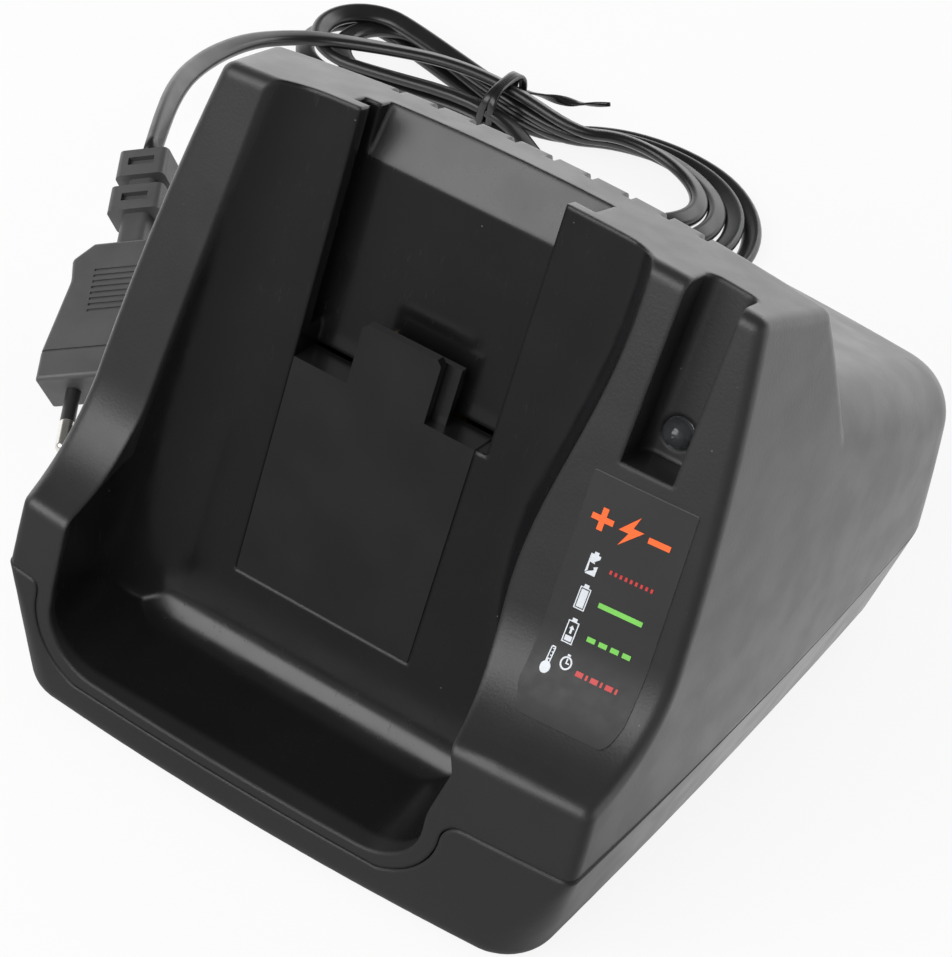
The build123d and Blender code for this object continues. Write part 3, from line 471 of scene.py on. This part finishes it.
def smooth_line(points, name):
    """The NURBS line that has these control points, as points along it."""
    curve = bpy.data.curves.new(name, "CURVE")
    curve.dimensions = "3D"
    curve.resolution_u = 6
    spline = curve.splines.new("NURBS")
    spline.points.add(len(points) - 1)
    for point, place in zip(spline.points, points):
        point.co = (*at(*place), 1.0)
    spline.order_u = 3
    spline.use_endpoint_u = True
    carrier = bpy.data.objects.new(name, curve)
    mesh = bpy.data.meshes.new_from_object(carrier)
    line = [vertex.co.copy() for vertex in mesh.vertices]
    bpy.data.meshes.remove(mesh)
    bpy.data.objects.remove(carrier)
    bpy.data.curves.remove(curve)
    return line


def squared(angle, power):
    """Cosine and sine of an angle round a rounded square, squarer with a lower power."""
    cosine = math.cos(angle)
    sine = math.sin(angle)
    return math.copysign(abs(cosine) ** power, cosine), math.copysign(abs(sine) ** power, sine)


def flat_section():
    """Outline of two-core flat cord: rounded ends and a shallow groove between the cores."""
    points = []
    half_wide = CORD_WIDTH / 2 * MM
    half_thick = CORD_THICKNESS / 2 * MM
    for step in range(SECTION_STEPS):
        cosine, sine = squared(2 * math.pi * step / SECTION_STEPS, 0.75)
        across = half_wide * cosine
        groove = 1 - 0.10 * math.exp(-(across / (0.22 * half_wide)) ** 2)
        points.append((across, half_thick * groove * sine))
    return points


def turned_axes(line, index, roll):
    """The width and the thickness of a flat strand, as directions, at a point of its line."""
    before = line[max(index - 1, 0)]
    after = line[min(index + 1, len(line) - 1)]
    tangent = (after - before).normalized()
    side = tangent.cross(Vector((0, 0, 1))).normalized()
    up = side.cross(tangent)
    return side * math.cos(roll) + up * math.sin(roll), up * math.cos(roll) - side * math.sin(roll)


def skin(bm, rings, closed=False):
    """Faces from ring to ring, with capped ends, or with the last ring joined to the first."""
    following = rings[1:] + (rings[:1] if closed else [])
    for first, second in zip(rings, following):
        for k in range(len(first)):
            n = (k + 1) % len(first)
            bm.faces.new((first[k], first[n], second[n], second[k]))
    if not closed:
        bm.faces.new(list(reversed(rings[0])))
        bm.faces.new(rings[-1])


def roll_at(share, line_length):
    """How far the flat cord is turned about its own line, in radians, at a share of its length."""
    wander = 0.55 * math.sin(share * line_length / MM / 70.0)
    at_plug = math.radians(62.0) * max(0.0, (share - 0.93) / 0.07)
    steady = min(share / 0.03, 1.0)
    return steady * wander * (1 - max(0.0, (share - 0.9) / 0.1)) + at_plug


def cord_mesh(line):
    """A flat tube along the line, its width level except where the cord rolls."""
    lengths = [0.0]
    for before, after in zip(line, line[1:]):
        lengths.append(lengths[-1] + (after - before).length)
    section = flat_section()

    def build(bm):
        rings = []
        for index, place in enumerate(line):
            wide, thick = turned_axes(line, index, roll_at(lengths[index] / lengths[-1], lengths[-1]))
            rings.append([bm.verts.new(place + wide * a + thick * b) for a, b in section])
        skin(bm, rings)

    return mesh_of("cord", build), lengths[-1]


def make_cord(finishes):
    line = smooth_line(cord_route(), "cord_line")
    mesh, length = cord_mesh(line)
    cord = add_piece("mains_cord", mesh, finishes["cord_pvc"])
    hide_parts("cord_lead", "cord_to_plug", "cord_hank")
    return cord


# ---------------------------------------------------------------- tie
TIE_MIDDLE_Z = 8.6
TIE_REACH_Y = 9.6         # from the middle of the hank to the inside of the strap
TIE_REACH_Z = 8.1
STRAP_WIDTH = 2.6
STRAP_THICKNESS = 1.0
STRAP_STEPS = 40
STRAP_TURNS = [(-1.6, 1.4), (1.8, -1.0)]      # place along the hank and lean of each turn
STRAP_SECTION = [(0, -1), (0.8, -1), (1.0, -0.6), (1.0, 0.6), (0.8, 1), (0, 1)]
TAIL_ROUTE = [
    (-103, 286, 10.0),
    (-98, 291, 8.0),
    (-93, 295, 6.5),
    (-88, 298, 6.0),
    (-83, 300, 7.0),
    (-78, 301, 9.0),
]
TAIL_WIDTH = 3.0
TAIL_THICKNESS = 0.9
TAIL_TWIST = 5.0          # radians, over its whole length
TAIL_SECTION = [(1, 0.3), (0.5, 1), (-0.5, 1), (-1, 0.3), (-1, -0.3), (-0.5, -1), (0.5, -1), (1, -0.3)]


def strap_turn(bm, along_hank, lean):
    """One turn of the flat strap round the waist of the hank."""
    rings = []
    for step in range(STRAP_STEPS):
        angle = 2 * math.pi * step / STRAP_STEPS
        flat_y, flat_z = squared(angle, 0.6)
        ring = []
        for out, across in STRAP_SECTION:
            grow = out * STRAP_THICKNESS
            x = WAIST_X + along_hank + across * STRAP_WIDTH / 2 + lean * math.sin(angle)
            y = WAIST_Y + (TIE_REACH_Y + grow) * flat_y
            z = TIE_MIDDLE_Z + (TIE_REACH_Z + grow) * flat_z
            ring.append(bm.verts.new(at(x, y, max(z, 0.1))))
        rings.append(ring)
    skin(bm, rings, closed=True)


def twisted_tail(bm):
    """The loose end of the strap, behind the hank, narrower at its tip."""
    line = smooth_line(TAIL_ROUTE, "tail_line")
    rings = []
    for index, place in enumerate(line):
        share = index / (len(line) - 1)
        wide, thick = turned_axes(line, index, TAIL_TWIST * share)
        half_wide = TAIL_WIDTH / 2 * MM * (1.0 - 0.55 * max(0.0, share - 0.75) / 0.25)
        half_thick = TAIL_THICKNESS / 2 * MM
        ring = [place + wide * half_wide * a + thick * half_thick * b for a, b in TAIL_SECTION]
        rings.append([bm.verts.new(corner) for corner in ring])
    skin(bm, rings)


def make_tie(finishes):
    """Flat tie wound twice round the waist of the hank, with its twisted tail."""

    def build(bm):
        for along_hank, lean in STRAP_TURNS:
            strap_turn(bm, along_hank, lean)
        twisted_tail(bm)

    mesh = mesh_of("cord_tie_strap", build)
    tie = add_piece("cord_tie_strap", mesh, finishes["tie_plastic"])
    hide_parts("cord_tie")
    return tie


# ---------------------------------------------------------------- print on the label
FRONT_BOW_RADIUS = 803.0
PANEL_BEND_RADIUS = 30.0
PRINT_HEIGHT = 0.42       # the ink stands this far over the panel; the film is 0.35 thick
PRINT_DEPTH = 0.05


def panel_depth(z):
    """How far back the panel's middle lies at the level z, and its slope there."""
    slope = math.atan2(PANEL_TOP_Z - PANEL_BEND_Z, PANEL_TOP_Y - PANEL_BEND_Y)
    strip = math.atan2(PANEL_BEND_Z - PANEL_FOOT_Z, PANEL_BEND_Y)
    tangent = PANEL_BEND_RADIUS * math.tan((slope - strip) / 2)
    end_y = PANEL_BEND_Y + tangent * math.cos(slope)
    end_z = PANEL_BEND_Z + tangent * math.sin(slope)
    start_z = PANEL_BEND_Z - tangent * math.sin(strip)
    if z >= end_z:
        return PANEL_BEND_Y + (z - PANEL_BEND_Z) / math.tan(slope), slope
    if z <= start_z:
        return (z - PANEL_FOOT_Z) / math.tan(strip), strip
    centre_y = end_y - PANEL_BEND_RADIUS * math.sin(slope)
    centre_z = end_z + PANEL_BEND_RADIUS * math.cos(slope)
    rise = z - centre_z
    reach = math.sqrt(PANEL_BEND_RADIUS ** 2 - rise ** 2)
    return centre_y + reach, math.atan2(reach, -rise)


def on_panel(x, z, height):
    """The point at that height over the panel, seen at (x, z) from straight in front."""
    depth, slope = panel_depth(z)
    y = FRONT_BOW_RADIUS - math.sqrt((FRONT_BOW_RADIUS - depth) ** 2 - x * x)
    return at(x - height * x / FRONT_BOW_RADIUS, y - height * math.sin(slope), z + height * math.cos(slope))


def sheet_of(shapes):
    """Thin printed shapes laid on the panel: each is an outline of (x, z) points."""

    def build(bm):
        for outline in shapes:
            top = [bm.verts.new(on_panel(x, z, PRINT_HEIGHT)) for x, z in outline]
            low = [bm.verts.new(on_panel(x, z, PRINT_HEIGHT - PRINT_DEPTH)) for x, z in outline]
            bm.faces.new(top)
            for k in range(len(outline)):
                n = (k + 1) % len(outline)
                bm.faces.new((top[k], low[k], low[n], top[n]))

    return build


def rectangle(left, right, low, high):
    return [(left, low), (right, low), (right, high), (left, high)]


def ring_shapes(x, z, radius, line, start=0.0, sweep=360.0, steps=20):
    """A ring or part of one, in short pieces."""
    shapes = []
    for step in range(steps):
        first = math.radians(start + sweep * step / steps)
        second = math.radians(start + sweep * (step + 1) / steps)
        corners = ((radius, first), (radius, second), (radius - line, second), (radius - line, first))
        shapes.append([(x + r * math.cos(a), z + r * math.sin(a)) for r, a in corners])
    return shapes


def disc(x, z, radius, steps=16):
    return [(x + radius * math.cos(2 * math.pi * k / steps), z + radius * math.sin(2 * math.pi * k / steps))
            for k in range(steps)]


def battery_frame(left, right, low, high, line):
    """Outline of an upright cell with its cap."""
    middle = (left + right) / 2
    return [rectangle(left, left + line, low, high), rectangle(right - line, right, low, high),
            rectangle(left, right, low, low + line), rectangle(left, right, high - line, high),
            rectangle(middle - 0.55, middle + 0.55, high, high + 0.7)]


ROW_LEFT = 55.0           # the bars of the key start here
ROW_RIGHT = 65.2
ROW_Z = [91.0, 83.4, 75.5, 68.2]
BAR_HEIGHT = 1.15
FRAME_LINE = 0.25         # line of the cells' frames


def broken_cell(z):
    return [
        [(49.9, z + 0.3), (49.6, z + 2.2), (51.9, z + 2.2),
         (51.9, z + 1.5), (50.9, z + 0.6), (51.2, z + 0.2)],
        [(49.7, z - 2.4), (52.0, z - 2.4), (52.0, z - 0.1),
         (51.1, z - 0.6), (51.4, z - 1.1), (50.0, z - 1.9)],
        [(49.6, z + 2.2), (49.6, z - 2.2), (50.1, z - 1.6), (49.95, z + 0.4)],
        rectangle(50.3, 51.3, z + 2.2, z + 2.8),
    ]


def full_cell(z):
    charge = rectangle(50.45, 52.05, z - 2.3, z + 1.8)
    return battery_frame(50.0, 52.5, z - 2.8, z + 2.3, FRAME_LINE) + [charge]


def filling_cell(z):
    """A nearly empty cell with an arrow in it."""
    return battery_frame(50.2, 52.7, z - 2.8, z + 2.3, FRAME_LINE) + [
        rectangle(50.65, 52.25, z - 2.3, z - 1.1),
        rectangle(51.2, 51.7, z - 0.6, z + 0.6),
        [(50.85, z + 0.5), (52.05, z + 0.5), (51.45, z + 1.3)],
    ]


def thermometer(z):
    shapes = [disc(49.4, z - 1.3, 1.15)]
    shapes += [rectangle(48.85, 49.1, z - 0.6, z + 2.8), rectangle(49.7, 49.95, z - 0.6, z + 2.8),
               rectangle(49.0, 49.8, z + 2.7, z + 3.0), rectangle(49.1, 49.35, z - 0.6, z + 0.4)]
    shapes += [rectangle(49.35, 49.7, z + 0.2 + 0.7 * k, z + 0.4 + 0.7 * k) for k in range(4)]
    return shapes


def clock(z):
    """A stopwatch: its ring, two hands and the button on top."""
    return ring_shapes(53.2, z + 0.9, 1.35, 0.35) + [
        rectangle(53.05, 53.35, z + 0.8, z + 1.8),
        rectangle(53.05, 53.9, z + 0.75, z + 1.0),
        rectangle(52.85, 53.55, z + 2.3, z + 2.7),
    ]


def status_icons():
    """One pictogram beside each row of bars, and two beside the last."""
    first, second, third, fourth = ROW_Z
    return broken_cell(first) + full_cell(second) + filling_cell(third) + thermometer(fourth) + clock(fourth)


def green_marks():
    """A full bar, and a row of dashes."""
    z = ROW_Z[1]
    shapes = [rectangle(ROW_LEFT, ROW_RIGHT, z - BAR_HEIGHT / 2, z + BAR_HEIGHT / 2)]
    z = ROW_Z[2]
    dash = 1.9
    step = (ROW_RIGHT - ROW_LEFT - dash) / 3
    for number in range(4):
        left = ROW_LEFT + 0.3 + number * step
        shapes.append(rectangle(left, left + dash, z - BAR_HEIGHT / 2, z + BAR_HEIGHT / 2))
    return shapes


def red_marks():
    """A row of dots, and a row of dashes and dots."""
    shapes = []
    z = ROW_Z[0]
    dots = 9
    for number in range(dots):
        left = ROW_LEFT - 0.3 + number * (ROW_RIGHT - ROW_LEFT) / (dots - 0.4)
        shapes.append(rectangle(left, left + 0.55, z - 0.45, z + 0.45))
    z = ROW_Z[3]
    left = ROW_LEFT + 1.0
    for number in range(3):
        shapes.append(rectangle(left, left + 1.7, z - 0.5, z + 0.5))
        shapes.append(rectangle(left + 2.3, left + 2.8, z - 0.5, z + 0.5))
        left += 3.5
    return shapes


RATING_Z = 100.8


def orange_marks():
    """A generic charging sign in the place of the rating: a bolt between a plus and a minus."""
    z = RATING_Z
    high = 3.7
    bolt = [(56.9, z + high), (53.2, z - 0.5), (55.5, z - 0.5),
            (54.1, z - high), (58.6, z + 0.9), (56.1, z + 0.9)]
    shapes = [bolt]
    plus_x = 49.3
    arm = 2.5
    half = 0.65
    shapes += [rectangle(plus_x - arm, plus_x + arm, z - half, z + half),
               rectangle(plus_x - half, plus_x + half, z + half, z + arm),
               rectangle(plus_x - half, plus_x + half, z - arm, z - half)]
    minus_x = 62.4
    shapes.append(rectangle(minus_x - arm, minus_x + arm, z - half, z + half))
    return shapes


def make_label_print():
    inks = {
        "label_print_white": (status_icons(), (0.62, 0.65, 0.69, 1.0)),
        "label_print_green": (green_marks(), (0.18, 0.55, 0.09, 1.0)),
        "label_print_red": (red_marks(), (0.50, 0.03, 0.03, 1.0)),
        "label_print_orange": (orange_marks(), (0.92, 0.13, 0.02, 1.0)),
    }
    for name, (shapes, colour) in inks.items():
        ink = plain(name, colour, 0.45, 900.0, 0.00001, 0.05)
        add_piece(name, mesh_of(name, sheet_of(shapes), smooth=False), ink)


# ---------------------------------------------------------------- room and light
WORLD_LEVEL = 0.45        # light from all round on matt surfaces
PAPER_BACK = 2.0          # painted light: the white paper behind the charger glows over-bright in reflections, which its glossy sides show
PAPER_NEAR = 1.4
ROOM_FRONT = 0.5          # beyond the front edge of the paper
ROOM_ABOVE = 0.15
PAPER_COLOUR = 0.86
PAPER_GLOW = 0.88         # share of the paper's painted glow, seen or mirrored; the rest is its paint, which takes shadows
PAPER_FRONT = 0.16        # painted shade: the front edge of the paper glows dimly in mirrors
FLOOR_HALF = 3.0


def link_range(tree, value, low, high, to_low, to_high):
    """Maps a socket's low..high smoothly to to_low..to_high."""
    node = tree.nodes.new("ShaderNodeMapRange")
    node.interpolation_type = "SMOOTHSTEP"
    tree.links.new(value, node.inputs["Value"])
    for key, number in (("From Min", low), ("From Max", high), ("To Min", to_low), ("To Max", to_high)):
        if isinstance(number, bpy.types.NodeSocket):
            tree.links.new(number, node.inputs[key])
        else:
            node.inputs[key].default_value = number
    return node.outputs["Result"]


def ray_share(tree, *kinds):
    """1 for light rays of those kinds."""
    path = tree.nodes.new("ShaderNodeLightPath")
    seen = path.outputs[kinds[0]]
    for kind in kinds[1:]:
        add = tree.nodes.new("ShaderNodeMath")
        add.operation = "MAXIMUM"
        tree.links.new(seen, add.inputs[0])
        tree.links.new(path.outputs[kind], add.inputs[1])
        seen = add.outputs["Value"]
    return seen


def split_place(tree, output):
    place = tree.nodes.new("ShaderNodeTexCoord")
    split = tree.nodes.new("ShaderNodeSeparateXYZ")
    tree.links.new(place.outputs[output], split.inputs[0])
    return split.outputs


def make_world():
    world = bpy.data.worlds.new("studio")
    bpy.context.scene.world = world
    world.use_nodes = True
    tree = world.node_tree
    background = tree.nodes["Background"]
    background.inputs["Color"].default_value = (1.0, 1.0, 1.0, 1.0)
    direction = split_place(tree, "Generated")
    around = link_range(tree, direction["Y"], -0.25, 0.25, ROOM_FRONT, PAPER_BACK)
    mirrored = link_range(tree, direction["Z"], 0.25, 0.6, around, ROOM_ABOVE)
    in_mirror = ray_share(tree, "Is Glossy Ray", "Is Transmission Ray")
    level = link_range(tree, in_mirror, 0.0, 1.0, WORLD_LEVEL, mirrored)
    seen = link_range(tree, ray_share(tree, "Is Camera Ray"), 0.0, 1.0, level, 1.0)
    tree.links.new(seen, background.inputs["Strength"])


def make_floor():
    corners = [(x * FLOOR_HALF, y * FLOOR_HALF, 0) for x, y in ((-1, -1), (1, -1), (1, 1), (-1, 1))]
    mesh = bpy.data.meshes.new("floor")
    mesh.from_pydata(corners, [], [(0, 1, 2, 3)])
    floor = bpy.data.objects.new("floor", mesh)
    bpy.context.scene.collection.objects.link(floor)
    material = bpy.data.materials.new("floor_white")
    material.use_nodes = True
    tree = material.node_tree
    paint = tree.nodes["Principled BSDF"]
    paint.inputs["Base Color"].default_value = grey(PAPER_COLOUR)
    paint.inputs["Roughness"].default_value = 0.9
    paint.inputs["Specular IOR Level"].default_value = 0.0
    glow = tree.nodes.new("ShaderNodeEmission")
    glow.inputs["Color"].default_value = (1.0, 1.0, 1.0, 1.0)
    # painted light: in reflections the floor glows dim at its front edge and brighter behind the charger;
    # seen straight on, its glow is an even white
    depth = split_place(tree, "Object")["Y"]
    near = link_range(tree, depth, -0.12, 0.02, PAPER_FRONT, PAPER_NEAR)
    mirrored = link_range(tree, depth, 0.15, 0.6, near, PAPER_BACK * 1.1)
    strength = link_range(tree, ray_share(tree, "Is Camera Ray"), 0.0, 1.0, mirrored, 1.0)
    tree.links.new(strength, glow.inputs["Strength"])
    share = ray_share(tree, "Is Camera Ray", "Is Glossy Ray", "Is Transmission Ray")
    mix = tree.nodes.new("ShaderNodeMixShader")
    tree.links.new(link_range(tree, share, 0.0, 1.0, 0.0, PAPER_GLOW), mix.inputs["Fac"])
    tree.links.new(paint.outputs["BSDF"], mix.inputs[1])
    tree.links.new(glow.outputs["Emission"], mix.inputs[2])
    tree.links.new(mix.outputs["Shader"], tree.nodes["Material Output"].inputs["Surface"])
    mesh.materials.append(material)


def add_lamp(name, place, aim, size, power):
    data = bpy.data.lights.new(name, "AREA")
    data.shape = "RECTANGLE"
    data.size = size[0]
    data.size_y = size[1]
    data.energy = power
    lamp = bpy.data.objects.new(name, data)
    lamp.location = place
    lamp.rotation_mode = "QUATERNION"
    lamp.rotation_quaternion = (aim - lamp.location).to_track_quat("-Z", "Y")
    bpy.context.scene.collection.objects.link(lamp)


def make_lights():
    middle = Vector((0, 0, 0.06))
    add_lamp("front_softbox", Vector((-0.45, -1.05, 0.85)), middle, (1.5, 0.95), 19.0)
    add_lamp("back_light", Vector((0.3, 1.3, 0.9)), middle, (1.0, 0.5), 6.0)


finishes = make_finishes()
make_camera()
dress_cad_nodes(finishes)
tie = make_tie(finishes)
make_cord(finishes)
make_label_print()
make_world()
make_floor()
make_lights()
bpy.context.scene.view_settings.view_transform = "Standard"
